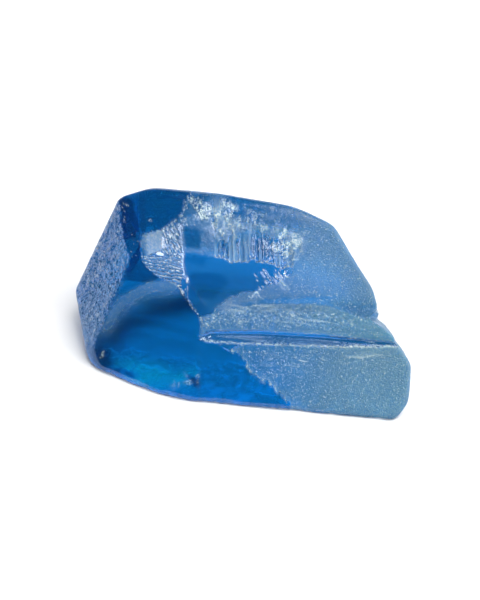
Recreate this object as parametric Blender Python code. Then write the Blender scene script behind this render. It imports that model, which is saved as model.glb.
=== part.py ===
"""A rough blue topaz crystal, one solid lump that rests on its flat cleavage base.

The lump is a block sliced by named crystal facets. Its edges are worn round, its left end is etched
into an orange peel, and its upper face carries the broken columns, ledges and grooves of a crystal
that grew against a neighbour. Millimetres here, turned to metres at the end.
"""

import math
import random

import bmesh
import bpy
from mathutils import Matrix, Vector

MM = 0.001
BLOCK = 80.0                            # side of the cube that the facets are sliced from
CORE = Vector((0.0, 0.0, 8.0))          # the point inside the lump that facet distances start from
SEED = 7

# Each facet: azimuth of its normal (0 faces the front, 90 the right), its elevation, distance from CORE.
FACETS = {
    "etched_end": (-56.5, 30.5, 12.9),
    "dark_crown": (-40.0, 61.0, 10.4),
    "bright_chip": (-13.0, 45.0, 6.8),
    "window": (-17.5, 30.3, 6.75),
    "upper": (1.0, 47.0, 5.8),
    "lower_front": (1.8, 27.5, 6.2),
    "left_top": (-107.0, 17.0, 20.5),
    "left_under": (-75.0, -20.0, 21.0),
    "left_back": (-150.0, 45.0, 17.0),
    "front_under": (-42.0, 8.0, 15.65),
    "top_back": (175.0, 45.0, 12.5),
    "top_right": (153.5, 40.0, 13.4),
    "right_top": (123.0, 18.0, 14.45),
    "right_end": (105.0, -6.0, 20.5),
    "right_under": (75.5, -29.0, 24.4),
    "back": (180.0, 8.0, 12.5),
    "back_left": (-140.0, 0.0, 18.0),
    "back_right": (135.0, 0.0, 18.5),
    "back_under": (180.0, -40.0, 13.0),
    "base": (0.0, -90.0, 8.0),
}

# How round the edge between two facets is worn: the radius, and the flat strips that turn it.
EDGE_RADIUS, EDGE_STRIPS = 1.5, 3
ROUND_EDGES = {
    ("window", "lower_front"): (14.0, 4),
    ("upper", "lower_front"): (5.0, 3),
    ("etched_end", "dark_crown"): (0.6, 1),
    ("etched_end", "bright_chip"): (0.6, 1),
    ("etched_end", "window"): (0.6, 1),
    ("dark_crown", "bright_chip"): (0.8, 1),
    ("dark_crown", "upper"): (0.8, 1),
    ("bright_chip", "window"): (0.8, 1),
    ("bright_chip", "upper"): (0.8, 1),
    ("window", "upper"): (0.8, 1),
    ("window", "base"): (0.8, 3),
    ("lower_front", "base"): (0.6, 3),
    ("window", "front_under"): (6.0, 3),
    ("front_under", "base"): (1.6, 3),
    ("front_under", "left_under"): (4.0, 3),
    ("left_under", "base"): (2.5, 3),
    ("left_under", "left_top"): (3.0, 3),
    ("lower_front", "right_under"): (2.6, 4),
    ("lower_front", "right_end"): (3.0, 3),
    ("right_under", "base"): (3.0, 3),
    ("upper", "right_top"): (2.5, 3),
}

PEEL_ACROSS, PEEL_ALONG = 0.5, 0.85     # the etched end's lumps: spacing across the face, and up it
PEEL_IN, PEEL_OUT = -0.15, 0.09         # how far the lumps' corners sink and rise
FLAT_ENOUGH = 0.99999                   # the least cosine between a face and the facet that it lies in
TOUCH = 1e-5                            # corners closer to a slicing plane than this lie on it
CHANNEL_FLAT = 0.5                      # a trough's flat bottom, as a share of half its width
CHANNEL_LEAN = 0.7                      # how far lean moves that bottom, in the same measure
OUTSIDE = 0.07                          # the least that a cutter stands proud of the facet that it cuts
PROUD_SHARE = 0.7                       # how much more it stands proud, for each millimetre of its depth

# Paths of troughs on a facet. Each point is across, up, width and depth.
VALLEY = [(-2.2, -2.6, 0.4, 0.05), (-0.6, -1.2, 1.1, 0.3), (4.2, 0.2, 1.9, 0.45), (10.0, -0.7, 2.2, 0.7),
          (17.0, -1.4, 2.8, 1.6), (22.0, -2.1, 3.2, 2.2)]
GROOVE = [(-4.4, -3.6, 0.3, 0.05), (-2.6, -3.2, 1.5, 0.7), (3.0, -3.2, 2.1, 0.85), (12.0, -3.1, 2.3, 0.8),
          (24.0, -2.8, 2.2, 0.6)]
SADDLE = [(-20.0, -2.9, 6.6, 3.4), (-13.8, -1.7, 5.6, 2.6), (-8.0, -0.5, 3.6, 1.2), (-2.5, 1.2, 1.0, 0.1)]
CREST_CHIP = [(1.6, 0.6, 0.3, 0.1), (2.6, 1.0, 0.7, 0.35), (3.5, 0.8, 0.3, 0.1)]
RAGGED_EDGE = [(-0.8, -5.3), (0.5, -5.5), (1.85, -6.0), (2.2, -6.9), (3.0, -7.4), (3.9, -7.8), (4.3, -8.7),
               (5.8, -9.2), (7.0, -10.2)]

# Rows of like breaks. Each: how many, the first one's place, and the step from one to the next.
COLUMNS = (14, (-2.9, 3.9), (0.8, 0.0))
LEDGES = (6, (-7.6, 11.5), (1.05, -0.98))
LEVEL_CHIPS = (8, (5.6, 9.4), (0.34, -0.48))
RIPPLES = (7, (-10.6, 0.7), (0.36, 0.38))
GROWTH_LINES = (9, (-14.0, -3.6), (0.0, 1.05))
SEAM_CHIPS = (6, (-3.9, 0.9), (0.55, -0.75))


def facet_normal(name):
    """The outward normal of a facet, from its azimuth and elevation."""
    azimuth, elevation = (math.radians(a) for a in FACETS[name][:2])
    flat = math.cos(elevation)
    return Vector((math.sin(azimuth) * flat, -math.cos(azimuth) * flat, math.sin(elevation)))


def on_facet(name, across, up, height=0.0):
    """A point given in a facet's own plane: across it, up its slope, and height out of it."""
    azimuth = math.radians(FACETS[name][0])
    normal = facet_normal(name)
    level = Vector((math.cos(azimuth), math.sin(azimuth), 0.0))
    slope = normal.cross(level)
    return CORE + normal * (FACETS[name][2] + height) + level * across + slope * up


def slice_off(mesh, point, normal):
    """Cuts away what lies beyond a plane, and closes the cut with one flat face."""
    geometry = mesh.verts[:] + mesh.edges[:] + mesh.faces[:]
    bmesh.ops.bisect_plane(
        mesh, geom=geometry, dist=TOUCH, plane_co=point, plane_no=normal, clear_outer=True
    )
    rim = [edge for edge in mesh.edges if edge.is_boundary]
    if rim:
        bmesh.ops.holes_fill(mesh, edges=rim)


def sliced_block():
    """The cube with every facet sliced, each face still sharp."""
    mesh = bmesh.new()
    bmesh.ops.create_cube(mesh, size=BLOCK)
    for name in FACETS:
        slice_off(mesh, on_facet(name, 0.0, 0.0), facet_normal(name))
    return mesh


def facet_of(face):
    """The name of the facet that a face lies in."""
    return max(FACETS, key=lambda name: facet_normal(name).dot(face.normal))


def wear_edges(mesh):
    """Rounds every edge by slicing strips that touch the cylinder of the edge's radius."""
    mesh.normal_update()
    strips = []
    for edge in mesh.edges:
        first, second = (face.normal.copy() for face in edge.link_faces)
        pair = tuple(facet_of(face) for face in edge.link_faces)
        usual = (EDGE_RADIUS, EDGE_STRIPS)
        radius, count = ROUND_EDGES.get(pair, ROUND_EDGES.get(pair[::-1], usual))
        centre = edge.verts[0].co - (first + second) * (radius / (1 + first.dot(second)))
        for k in range(1, count + 1):
            normal = first.slerp(second, k / (count + 1))
            strips.append((centre + normal * radius, normal))
    for point, normal in strips:
        slice_off(mesh, point, normal)


def flat_faces(mesh, normal):
    """The faces that lie in a facet."""
    mesh.normal_update()
    return [face for face in mesh.faces if face.normal.dot(normal) > FLAT_ENOUGH]


def etch(mesh, name, rng):
    """Dices one facet into a grid and moves its inner corners in and out, which gives an orange peel."""
    normal = facet_normal(name)
    azimuth = math.radians(FACETS[name][0])
    level = Vector((math.cos(azimuth), math.sin(azimuth), 0.0))
    flat = flat_faces(mesh, normal)
    for direction, step in ((level, PEEL_ACROSS), (normal.cross(level), PEEL_ALONG)):
        reach = [vert.co.dot(direction) for face in flat for vert in face.verts]
        first = min(reach) + rng.uniform(0.4, 0.8) * step
        for k in range(int((max(reach) - first) / step) + 1):
            pieces = set(flat)
            for face in flat:
                pieces.update(face.edges)
                pieces.update(face.verts)
            place = direction * (first + k * step)
            bmesh.ops.bisect_plane(mesh, geom=list(pieces), dist=TOUCH, plane_co=place, plane_no=direction)
            flat = flat_faces(mesh, normal)
    facet = set(flat)
    corners = dict.fromkeys(vert for face in flat for vert in face.verts)
    for vert in corners:
        if all(face in facet for face in vert.link_faces):
            vert.co += normal * rng.uniform(PEEL_IN, PEEL_OUT)
    bmesh.ops.triangulate(mesh, faces=flat)


def gouge(name, path, lean=0.0):
    """A closed trough to cut with, laid along a path on a facet.

    The section is a channel with sloping sides. Its bottom lies in the middle, or nearer the path's left
    or right side as lean goes from 0 to 1 or to -1.
    """
    mesh = bmesh.new()
    places = [Vector((across, up)) for across, up, _, _ in path]
    rings = []
    for k, (place, (_, _, width, depth)) in enumerate(zip(places, path)):
        ahead = places[min(k + 1, len(places) - 1)] - places[max(k - 1, 0)]
        side = Vector((-ahead.y, ahead.x)).normalized() * (width / 2)
        proud = OUTSIDE + depth * PROUD_SHARE
        left = lean * CHANNEL_LEAN - CHANNEL_FLAT / 2
        right = lean * CHANNEL_LEAN + CHANNEL_FLAT / 2
        slant = proud / depth
        section = [(-1.0 - (left + 1.0) * slant, proud), (left, -depth)]
        section += [(right, -depth), (1.0 + (1.0 - right) * slant, proud)]
        corners = [on_facet(name, *(place + side * s), height) for s, height in section]
        rings.append([mesh.verts.new(corner) for corner in corners])
    for ring, following in zip(rings, rings[1:]):
        for k in range(len(ring)):
            j = (k + 1) % len(ring)
            mesh.faces.new((ring[k], ring[j], following[j], following[k]))
    mesh.faces.new(rings[0])
    mesh.faces.new(rings[-1])
    bmesh.ops.recalc_face_normals(mesh, faces=mesh.faces[:])
    bmesh.ops.triangulate(mesh, faces=mesh.faces[:])
    return mesh


def scoop(name, across, up, depth, radius):
    """A ball to cut with, sunk into a facet by depth, which leaves a shell-shaped hollow."""
    mesh = bmesh.new()
    centre = on_facet(name, across, up, radius - depth)
    bmesh.ops.create_icosphere(mesh, subdivisions=3, radius=radius, matrix=Matrix.Translation(centre))
    return mesh


def row(pattern):
    """The places of a row of like breaks, across and up, and each one's number."""
    count, (across, up), (step_across, step_up) = pattern
    for k in range(count):
        yield across + k * step_across, up + k * step_up, k


def column_cutters(rng):
    """Broken columns: flutes that run down the upper face and deepen to a square end."""
    for across, foot, k in row(COLUMNS):
        across += rng.uniform(-0.1, 0.1)
        foot += rng.uniform(-0.3, 0.3) - (0.5 if 3 <= k <= 7 else 0.0)
        width = rng.uniform(0.6, 0.78)
        depth = rng.uniform(0.38, 0.62)
        length = rng.uniform(3.6, 5.0)
        top = (across - 0.3, foot + length, width * 0.6, 0.08)
        yield gouge("upper", [top, (across, foot, width, depth)])


def break_cutters(rng):
    """The other breaks of the upper face, of the bright chip and of the clear window's edges."""
    # Ledges that step down to the right across the top of the upper face.
    for left, top, _ in row(LEDGES):
        lowest = (left + 1.5, top - 0.8, 0.95, rng.uniform(0.3, 0.42))
        yield gouge("upper", [(left, top, 0.4, 0.1), lowest, (left + 3.1, top - 1.0, 0.4, 0.1)], 0.9)

    # Short level chips to the right of the columns.
    for across, up, _ in row(LEVEL_CHIPS):
        across += rng.uniform(-0.2, 0.2)
        start, end = (across - 1.0, up + 0.1, 0.2, 0.06), (across + 1.2, up - 0.1, 0.2, 0.06)
        yield gouge("upper", [start, (across, up, 0.4, 0.24), end], -0.8)

    # Two curved cracks under the columns, and a chip at the ridge's crest.
    for across, up in ((3.3, 3.2), (5.4, 2.7)):
        start, end = (across, up, 0.3, 0.1), (across + 1.7, up - 2.1, 0.3, 0.1)
        yield gouge("upper", [start, (across + 0.5, up - 1.1, 0.45, 0.3), end], 0.6)
    yield gouge("upper", CREST_CHIP, -0.8)

    # Level ripples on the bright chip.
    for across, up, _ in row(RIPPLES):
        path = [(across, up, 0.18, 0.03), (-8.3, up + 0.3, 0.27, 0.12), (-6.7, up + 0.2, 0.18, 0.05)]
        yield gouge("bright_chip", path, -0.6)

    # Small chips along the seam from the bright chip down to the groove.
    for across, up, _ in row(SEAM_CHIPS):
        size = rng.uniform(0.25, 0.45)
        start, end = (across - size, up + size, 0.15, 0.03), (across + size, up - size, 0.15, 0.03)
        yield gouge("upper", [start, (across, up, size, size / 3), end], -0.5)

    # The ragged edge where the clear window breaks into the frosted front.
    for (across, up), (next_across, next_up) in zip(RAGGED_EDGE, RAGGED_EDGE[1:]):
        middle = ((across + next_across) / 2 + 0.2, (up + next_up) / 2 + 0.15, 0.5, 0.24)
        path = [(across, up, 0.2, 0.05), middle, (next_across, next_up, 0.2, 0.05)]
        yield gouge("lower_front", path, -0.8)


def cutters(rng):
    """Every trough and hollow in the lump, one after another."""
    # The valley above the ridge that runs along the front, and the smooth groove below that ridge.
    yield gouge("upper", VALLEY)
    yield gouge("lower_front", GROOVE, -0.7)
    # The same valley where it turns the corner of the right end, broad there and soon gone.
    yield gouge("right_top", SADDLE, 0.2)
    yield from column_cutters(rng)
    yield from break_cutters(rng)
    # Long growth lines on the back, and a shell-shaped break at its right.
    for across, up, _ in row(GROWTH_LINES):
        up += rng.uniform(-0.2, 0.2)
        middle = (across + 12.0, up + 0.2, 0.7, 0.25)
        yield gouge("back", [(across, up, 0.25, 0.03), middle, (across + 26.0, up, 0.25, 0.03)], 0.7)
    yield scoop("back_right", 2.0, 3.0, 1.5, 11.0)


def carve(block, trough):
    """Cuts one closed trough out of the block's mesh, and throws the cutter away."""
    mesh = bpy.data.meshes.new("cutter")
    trough.to_mesh(mesh)
    trough.free()
    cutter = bpy.data.objects.new("cutter", mesh)
    cutter.hide_render = True
    cutter.display_type = "WIRE"
    bpy.context.collection.objects.link(cutter)
    cut = block.modifiers.new("cut", "BOOLEAN")
    cut.operation = "DIFFERENCE"
    cut.solver = "EXACT"
    cut.object = cutter
    graph = bpy.context.evaluated_depsgraph_get()
    result = bmesh.new()
    result.from_object(block, graph)
    bmesh.ops.triangulate(result, faces=result.faces[:])
    block.modifiers.clear()
    result.to_mesh(block.data)
    result.free()
    bpy.data.objects.remove(cutter)


def blue_topaz():
    """Clear, glossy blue topaz: its deep blue, and how smooth a clean face is."""
    material = bpy.data.materials.new("blue_topaz")
    material.use_nodes = True
    shader = material.node_tree.nodes["Principled BSDF"]
    shader.inputs["Base Color"].default_value = (0.05, 0.22, 0.45, 1.0)
    shader.inputs["Roughness"].default_value = 0.12
    shader.inputs["Metallic"].default_value = 0.0
    shader.inputs["IOR"].default_value = 1.62
    return material


def rest_on_origin(mesh):
    """Centres the lump on the origin with its base at height 0, and turns millimetres to metres."""
    corners = [[f(v.co[axis] for v in mesh.vertices) for axis in range(3)] for f in (min, max)]
    middle = [(low + high) / 2 for low, high in zip(*corners)]
    mesh.transform(Matrix.Translation((-middle[0], -middle[1], -corners[0][2])))
    mesh.transform(Matrix.Scale(MM, 4))


def main():
    for old in list(bpy.data.objects):
        bpy.data.objects.remove(old)
    rng = random.Random(SEED)
    lump = sliced_block()
    wear_edges(lump)
    etch(lump, "etched_end", rng)
    bmesh.ops.triangulate(lump, faces=lump.faces[:])
    mesh = bpy.data.meshes.new("topaz_crystal")
    lump.to_mesh(mesh)
    lump.free()
    crystal = bpy.data.objects.new("topaz_crystal", mesh)
    bpy.context.collection.objects.link(crystal)
    for trough in cutters(rng):
        carve(crystal, trough)
    rest_on_origin(crystal.data)
    crystal.data.materials.clear()
    crystal.data.materials.append(blue_topaz())


main()
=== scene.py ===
"""The looks of the rough blue topaz crystal.

The crystal is one closed surface: rays leave a short line inside it, and each ray ends on the crystal's
facets, melted a little into each other at their edges. Relief then moves each point in or out: the etched
end, the broken columns and ledges, the grooves along the front and the growth lines on the back. Lengths
are in millimetres until the mesh is made.
"""

import math

import bpy
import numpy as np
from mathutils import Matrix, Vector


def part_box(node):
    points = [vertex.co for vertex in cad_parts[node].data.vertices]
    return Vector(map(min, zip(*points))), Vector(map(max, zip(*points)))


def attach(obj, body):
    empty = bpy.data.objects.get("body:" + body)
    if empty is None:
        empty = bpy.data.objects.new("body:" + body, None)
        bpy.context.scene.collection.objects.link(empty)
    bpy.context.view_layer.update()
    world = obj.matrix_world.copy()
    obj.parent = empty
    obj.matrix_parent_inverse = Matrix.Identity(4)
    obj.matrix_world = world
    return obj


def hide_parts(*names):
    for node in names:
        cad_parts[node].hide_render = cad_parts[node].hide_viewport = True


MM = 0.001
NODE = "topaz_crystal"

# The photograph's camera, as seen from the crystal: 480 by 600 pixels, a 36 mm sensor on the long side.
AZIMUTH, ELEVATION = 10.0, 38.0
LENS, SENSOR = 100.0, 36.0
DISTANCE = 209.0
SHIFT_LEFT, SHIFT_UP = 0.05, 0.08       # moves the camera a little, so that the outlines meet
CORE = np.array([0.01, -1.126, 8.0])    # near the picture's middle: facet distances start here

# Each facet: azimuth of its normal (0 faces the front, 90 the right), its elevation, distance from CORE.
FACETS = {
    "etched_end": (-56.5, 30.5, 12.9),
    "dark_crown": (-40.0, 61.0, 10.4),
    "bright_chip": (-13.0, 45.0, 6.8),
    "window": (-17.5, 30.3, 6.75),
    "upper": (1.0, 47.0, 5.8),
    "lower_front": (1.4, 27.5, 6.22),
    "left_top": (-107.0, 17.0, 20.5),
    "left_under": (-75.0, -20.0, 21.0),
    "left_back": (-150.0, 45.0, 17.0),
    "front_under": (-42.0, 8.0, 15.65),
    "top_back": (175.0, 45.0, 12.5),
    "top_right": (153.5, 40.0, 13.4),
    "right_top": (123.0, 18.0, 14.45),
    "right_end": (105.0, -6.0, 20.5),
    "right_under": (75.5, -29.0, 24.4),
    "back": (180.0, 8.0, 12.5),
    "back_left": (-140.0, 0.0, 18.0),
    "back_right": (135.0, 0.0, 18.5),
    "back_under": (180.0, -40.0, 13.0),
    "base": (0.0, -90.0, 8.0),
}
SHARP = ("etched_end", "dark_crown", "bright_chip", "window", "upper", "lower_front")
SHARP_MELT, WORN_MELT = 0.07, 0.22      # how far facets melt into each other, on the front and elsewhere

STATIONS, AROUND = 322, 302             # the surface's grid: along the crystal, and round it
HALF_LINE = 8.0                         # half the length of the line that the rays leave
LEFT_SWING = 0.42                       # how far the left rays swing to the back, in radians
FRONT_TURN = math.radians(150.0)        # the turn round the line that faces the photograph's camera
HALVINGS = 30                           # how often a ray is halved towards the facets
BOX_INSET = 0.01                        # how far the surface stays inside the part's own box
NOISE_TABLE = 97                        # random numbers along each side of a noise table
# Among these, deep carries painted shade and painted light in the blue, and white carries painted highlights
# too.
FINISHES = ("frost", "white", "deep", "combed", "crumbled")     # the mesh's own values for the material


def direction(azimuth, elevation):
    """The unit vector that points out at an azimuth and elevation in degrees."""
    a, e = math.radians(azimuth), math.radians(elevation)
    return np.array([math.sin(a) * math.cos(e), -math.cos(a) * math.cos(e), math.sin(e)])


BACK = direction(AZIMUTH, ELEVATION)
RIGHT = np.array([math.cos(math.radians(AZIMUTH)), math.sin(math.radians(AZIMUTH)), 0.0])
UP = np.cross(BACK, RIGHT)
NAMES = list(FACETS)
NORMALS = np.array([direction(azimuth, elevation) for azimuth, elevation, _ in FACETS.values()])
OFFSETS = NORMALS @ CORE + np.array([distance for _, _, distance in FACETS.values()])


def melt(heights, reach):
    """The largest of several heights, with the corner between them rounded: reach times the logarithm
    of the sum of exponentials of each height over reach."""
    top = heights.max(axis=-1, keepdims=True)
    return top[..., 0] + reach * np.log(np.exp((heights - top) / reach).sum(axis=-1))


def out_of_crystal(points):
    """How far points lie outside the melted facets, negative inside."""
    heights = points @ NORMALS.T - OFFSETS
    front = [NAMES.index(name) for name in SHARP]
    others = [k for k in range(len(NAMES)) if k not in front]
    sharp = melt(heights[..., front], SHARP_MELT)
    return melt(np.concatenate([sharp[..., None], heights[..., others]], axis=-1), WORN_MELT)


def facet_shares(points, blend=0.12):
    """How much of each point belongs to each facet, adding up to 1."""
    heights = points @ NORMALS.T - OFFSETS
    share = np.exp((heights - heights.max(axis=-1, keepdims=True)) / blend)
    share /= share.sum(axis=-1, keepdims=True)
    return dict(zip(NAMES, np.moveaxis(share, -1, 0)))


def on_facet(name, points):
    """The points' places in a facet's own plane: across it, and up its slope."""
    azimuth = math.radians(FACETS[name][0])
    normal = NORMALS[NAMES.index(name)]
    level = np.array([math.cos(azimuth), math.sin(azimuth), 0.0])
    return (points - CORE) @ level, (points - CORE) @ np.cross(normal, level)


def as_seen(points):
    """The points' places in the photograph's view: right and up of its middle, at CORE's distance."""
    offset = points - (CORE + BACK * DISTANCE)
    depth = -(offset @ BACK)
    return offset @ RIGHT / depth * DISTANCE, offset @ UP / depth * DISTANCE


def step(low, high, value):
    """0 below low, 1 above high, and a smooth rise between them."""
    t = np.clip((value - low) / (high - low), 0.0, 1.0)
    return t * t * (3.0 - 2.0 * t)


def lumps(x, y, size, seed, turned=True):
    """Smooth random heights from -1 to 1: seeded random numbers on a grid of the given size, joined by a
    smooth rise in each direction. The grid is turned by an angle of its own, unless the relief is to be
    drawn out along x."""
    rng = np.random.default_rng(seed)
    table = rng.uniform(-1.0, 1.0, (NOISE_TABLE, NOISE_TABLE))
    turn = rng.uniform(0.3, 1.2) if turned else 0.0
    gx = (x * math.cos(turn) + y * math.sin(turn)) / size
    gy = (y * math.cos(turn) - x * math.sin(turn)) / size
    ix, iy = np.floor(gx).astype(int), np.floor(gy).astype(int)
    fx, fy = step(0.0, 1.0, gx - ix), step(0.0, 1.0, gy - iy)
    corner = [[table[(ix + i) % NOISE_TABLE, (iy + j) % NOISE_TABLE] for j in (0, 1)] for i in (0, 1)]
    low = corner[0][0] * (1 - fy) + corner[0][1] * fy
    high = corner[1][0] * (1 - fy) + corner[1][1] * fy
    return low * (1 - fx) + high * fx


def along(x, y, path):
    """For each point, its distance to a path of straight runs, positive on the path's left, and how
    far along the path it lies, from 0 to 1."""
    best = np.full(x.shape, 1e9)
    side = np.zeros(x.shape)
    place = np.zeros(x.shape)
    runs = np.diff(np.array(path), axis=0)
    lengths = np.hypot(*runs.T)
    before = np.concatenate([[0.0], np.cumsum(lengths)])
    for (x0, y0), (rx, ry), length, start in zip(path, runs, lengths, before):
        t = np.clip(((x - x0) * rx + (y - y0) * ry) / length ** 2, 0.0, 1.0)
        dx, dy = x - x0 - t * rx, y - y0 - t * ry
        gap = np.hypot(dx, dy)
        nearer = gap < best
        best = np.where(nearer, gap, best)
        side = np.where(nearer, np.sign(rx * dy - ry * dx), side)
        place = np.where(nearer, (start + t * length) / before[-1], place)
    return best * side, place


def trough(x, y, path, width, depth):
    """A groove along a path: depth times a bell curve of the distance to the path. Width and depth may
    each be a list of values that are read along the path."""
    gap, place = along(x, y, path)
    wide = np.interp(place, np.linspace(0, 1, len(width)), width)
    deep = np.interp(place, np.linspace(0, 1, len(depth)), depth)
    return -deep * np.exp(-(gap / wide) ** 2)


# Places on the front as the photograph shows them, right and up of the picture's middle.
VALLEY = [(-0.4, -0.85), (3.4, -0.35), (10.0, -0.4), (12.5, -0.7), (15.2, -1.7), (17.2, -2.3), (19.5, -2.7)]
GROOVE = [(-4.9, -4.7), (-3.4, -4.3), (-1.0, -4.4), (3.0, -4.6), (10.0, -5.0), (15.6, -5.4), (20.5, -5.75)]
GROOVE_TOP = [(-4.8, -4.3), (-3.9, -3.65), (-2.4, -3.6), (3.2, -3.65), (6.1, -4.0), (10.4, -4.15),
              (20.0, -5.3)]
GROOVE_LIP = [(-4.9, -4.9), (-2.6, -5.15), (0.1, -5.4), (7.0, -5.7), (12.8, -5.95), (21.0, -6.05)]
TONGUE = [(-4.6, -3.7), (-3.5, -2.95), (-3.15, -1.6), (-2.4, -0.5), (-0.7, 0.6), (1.8, 1.15), (5.0, 2.3),
          (8.5, 4.0)]
RAGGED_EDGE = [(-2.4, -5.4), (-0.9, -6.2), (0.1, -6.9), (1.0, -7.6), (1.2, -8.6), (2.4, -9.8), (3.9, -10.5),
               (4.6, -11.3), (6.0, -12.2), (6.8, -13.4), (7.3, -15.5)]
COLUMN_EDGES = [-2.9, -2.35, -1.65, -1.1, -0.5, 0.25, 0.9, 1.5, 2.3, 2.85, 3.4, 3.95, 4.3, 4.8, 5.4, 6.0,
                6.5, 7.1]
COLUMN_FEET = ([-2.9, -1.8, -1.2, 1.5, 2.0, 3.0, 4.3, 5.0, 6.0, 7.1],
               [5.6, 5.7, 5.1, 5.15, 5.6, 4.95, 5.05, 4.6, 4.3, 4.6])
COLUMN_HEADS = ([-2.9, -1.2, 0.0, 2.0, 5.6, 7.1], [8.3, 7.9, 9.0, 9.4, 8.9, 8.0])
LEDGES = [
    [(-6.4, 13.3), (-5.6, 12.8), (-3.6, 11.8), (-2.1, 10.3)],
    [(-5.9, 12.5), (-5.0, 11.8), (-4.0, 11.1)],
    [(-3.1, 10.5), (-2.9, 9.8), (-2.45, 9.2), (-1.7, 8.3)],
    [(-1.6, 10.9), (-1.3, 10.2), (-0.8, 9.4), (-0.3, 7.9)],
    [(1.2, 9.7), (2.1, 9.5), (5.6, 8.9), (7.1, 9.2)],
    [(5.6, 8.1), (6.6, 7.75), (8.4, 7.4)],
    [(4.7, 7.0), (6.0, 6.8), (7.4, 6.6)],
]
CRACKS = [
    [(3.2, 4.2), (3.5, 3.5), (3.9, 2.9), (4.4, 2.35)],
    [(4.5, 3.6), (4.9, 3.0), (5.5, 2.6), (6.1, 1.95), (6.7, 1.3)],
    [(5.9, 3.9), (6.0, 3.2), (6.6, 2.9)],
    [(1.5, 0.3), (2.3, 1.15), (2.9, 0.55)],
]
CROWN_EDGE = [(-5.6, 15.5), (-6.2, 13.6), (-6.7, 12.7), (-6.85, 11.8), (-7.5, 10.7), (-9.5, 9.1),
              (-12.4, 8.7)]
CHIP_CURVE = [(-12.75, 8.6), (-12.6, 7.2), (-12.35, 5.3), (-11.7, 4.4), (-10.4, 3.3), (-9.2, 2.65),
              (-7.6, 2.1)]
CHIP_RIDGE = [(-7.35, 9.4), (-7.3, 6.0), (-7.4, 3.0), (-7.5, 2.1)]
STRIP_LEFT = ([3.6, 6.4, 9.9, 13.0], [-13.6, -14.2, -15.0, -15.2])
WINDOW_SEAM = [(-7.6, 2.0), (-5.9, -0.6), (-4.5, -2.5), (-3.6, -3.2)]
VALLEY_LINE = ([-5.0, -0.4, 3.4, 10.0, 12.5, 15.2, 17.2, 22.0],
               [-2.0, -0.85, -0.35, -0.4, -0.7, -1.7, -2.3, -3.4])
FINE_LINES = [
    [(-3.3, 12.5), (-1.4, 12.1), (0.2, 11.6)],
    [(0.9, 11.5), (2.4, 11.2), (3.8, 10.9)],
    [(-4.6, -5.1), (-4.2, -5.9), (-3.4, -6.6)],
]


def patch(x, y, corners, soft):
    """1 inside a convex shape whose corners go anticlockwise, 0 outside, with a soft edge: a smooth step
    of the least distance to its sides."""
    best = np.full(x.shape, 1e9)
    for (x0, y0), (x1, y1) in zip(corners, corners[1:] + corners[:1]):
        length = math.hypot(x1 - x0, y1 - y0)
        best = np.minimum(best, ((x1 - x0) * (y - y0) - (y1 - y0) * (x - x0)) / length)
    return step(-soft, soft, best)


def columns(x, y):
    """The broken columns: side by side flutes between COLUMN_EDGES, each with its own depth, foot, head and
    rib. Gives the relief, and how near each point is to a foot or a rib, where the break is white; at the
    feet the white is also a painted highlight, where they catch the light from above."""
    rng = np.random.default_rng(11)
    edges = np.array(COLUMN_EDGES)
    slant = x + 0.03 * (y - 5.0) + 0.07 * lumps(x, y, 0.9, 5)
    index = np.clip(np.searchsorted(edges, slant) - 1, 0, len(edges) - 2)
    across = np.clip((slant - edges[index]) / (edges[index + 1] - edges[index]), 0.0, 1.0)
    depth = rng.uniform(0.22, 0.5, len(edges))[index]
    middle = (edges[:-1] + edges[1:]) / 2
    foot = (np.interp(middle, *COLUMN_FEET) + rng.uniform(-0.15, 0.15, len(middle)))[index]
    head = (np.interp(middle, *COLUMN_HEADS) + rng.uniform(-0.5, 0.4, len(middle)))[index]
    flute = 1.0 - np.abs(2.0 * across - 1.0) ** 2.5
    inside = step(edges[0] - 0.05, edges[0] + 0.05, slant)
    inside *= 1.0 - step(edges[-1] - 0.05, edges[-1] + 0.05, slant)
    cup = foot + 0.25 * np.abs(2.0 * across - 1.0) ** 2
    reach = step(cup - 0.06, cup + 0.08, y) * (1.0 - step(head - 0.9, head, y))
    relief = -depth * (0.25 + 0.75 * flute) * reach * inside
    # The feet's white: the white of the break, and a painted highlight where the feet catch the light from
    # above.
    white = 1.4 * np.exp(-((y - cup) / 0.13) ** 2)
    rib = np.exp(-(np.minimum(across, 1.0 - across) / 0.1) ** 2) * reach
    rib *= step(-0.6, 0.5, lumps(x, y, 0.6, 30))
    rib *= rng.uniform(0.15, 1.3, len(edges))[index]
    return relief, np.clip(white + rib, 0.0, 1.2) * inside


def steps_down(x, y, paths, drop, back, lip):
    """Broken ledges: along each path the surface drops sharply on its right and climbs back slowly.
    Gives the relief and the white of the broken lips, each lip as wide as given."""
    relief, white = np.zeros(x.shape), np.zeros(x.shape)
    for k, path in enumerate(paths):
        gap, place = along(x + 0.12 * lumps(x, y, 0.5, 31 + k), y + 0.08 * lumps(x, y, 0.4, 51 + k), path)
        ends = step(0.0, 0.12, place) * (1.0 - step(0.85, 1.0, place))
        fall = step(-0.02, 0.14, -gap) * np.exp(-np.clip(-gap, 0, None) / back)
        relief -= drop * fall * ends
        relief += 0.25 * drop * np.exp(-((gap - 0.05) / 0.12) ** 2) * ends
        white += np.exp(-((gap - 0.02) / lip) ** 2) * ends
    return relief, np.clip(white, 0.0, 1.0)


def scratches(x, y, paths, width, depth):
    """Narrow cuts with a raised bright rim: a deep bell across each path, less a wider low one."""
    relief, white = np.zeros(x.shape), np.zeros(x.shape)
    for k, path in enumerate(paths):
        gap, place = along(x + 0.05 * lumps(x, y, 0.4, 71 + k), y, path)
        ends = np.exp(-np.clip(np.abs(place - 0.5) - 0.42, 0, None) / 0.03)
        relief += depth * (0.4 * np.exp(-(gap / (2 * width)) ** 2) - np.exp(-(gap / width) ** 2)) * ends
        white += np.exp(-((gap - width) / width) ** 2) * ends
    return relief, np.clip(white, 0.0, 1.0)


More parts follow.
